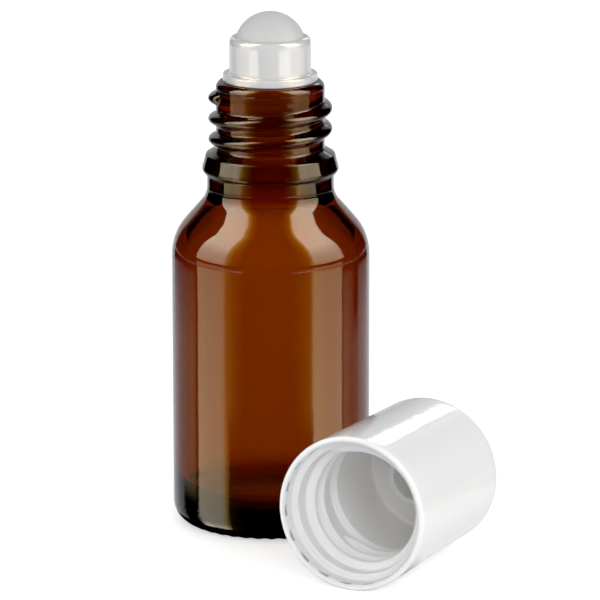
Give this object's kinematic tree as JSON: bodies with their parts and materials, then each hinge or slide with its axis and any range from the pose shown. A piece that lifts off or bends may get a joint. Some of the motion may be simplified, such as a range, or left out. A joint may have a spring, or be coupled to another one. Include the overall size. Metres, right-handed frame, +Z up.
{
  "type": "roll-on bottle",
  "caption": "Small amber glass roll-on bottle with a threaded neck, a pressed-in roller insert holding a ball, and its white screw cap lying beside it, open end forward.",
  "frame": {"origin": "centre of the ring that the bottle stands on", "axes": "+Z up along the bottle's axis, -Y towards the viewer, +X to the viewer's right; the cap lies on the same surface in front of the bottle and to its right"},
  "size_m": [0.0463, 0.0556, 0.075],
  "materials": {
    "amber_glass": "clear amber glass, polished by the mould, dark red-brown where it is thick",
    "insert_plastic": "natural white moulded plastic, glossy and slightly translucent",
    "ball_plastic": "smooth matte light grey",
    "cap_plastic": "glossy white moulded plastic"
  },
  "bodies": {
    "bottle": {"glass_bottle": "amber_glass"},
    "insert": {"roller_insert": "insert_plastic"},
    "ball": {"roller_ball": "ball_plastic"},
    "cap": {"screw_cap": "cap_plastic"}
  },
  "joints": [
    {"name": "insert_pull", "type": "slide", "parent": "bottle", "child": "insert", "axis": [0, 0, 1], "range_m": [0, 0.016]},
    {"name": "ball_roll", "type": "hinge", "parent": "insert", "child": "ball", "pos_m": [0, 0, 0.0698], "axis": [1, 0, 0], "continuous": true},
    {"name": "cap_lift", "type": "slide", "parent": "bottle", "child": "cap", "axis": [0, 0, 1], "range_m": [0, 0.09]}
  ]
}
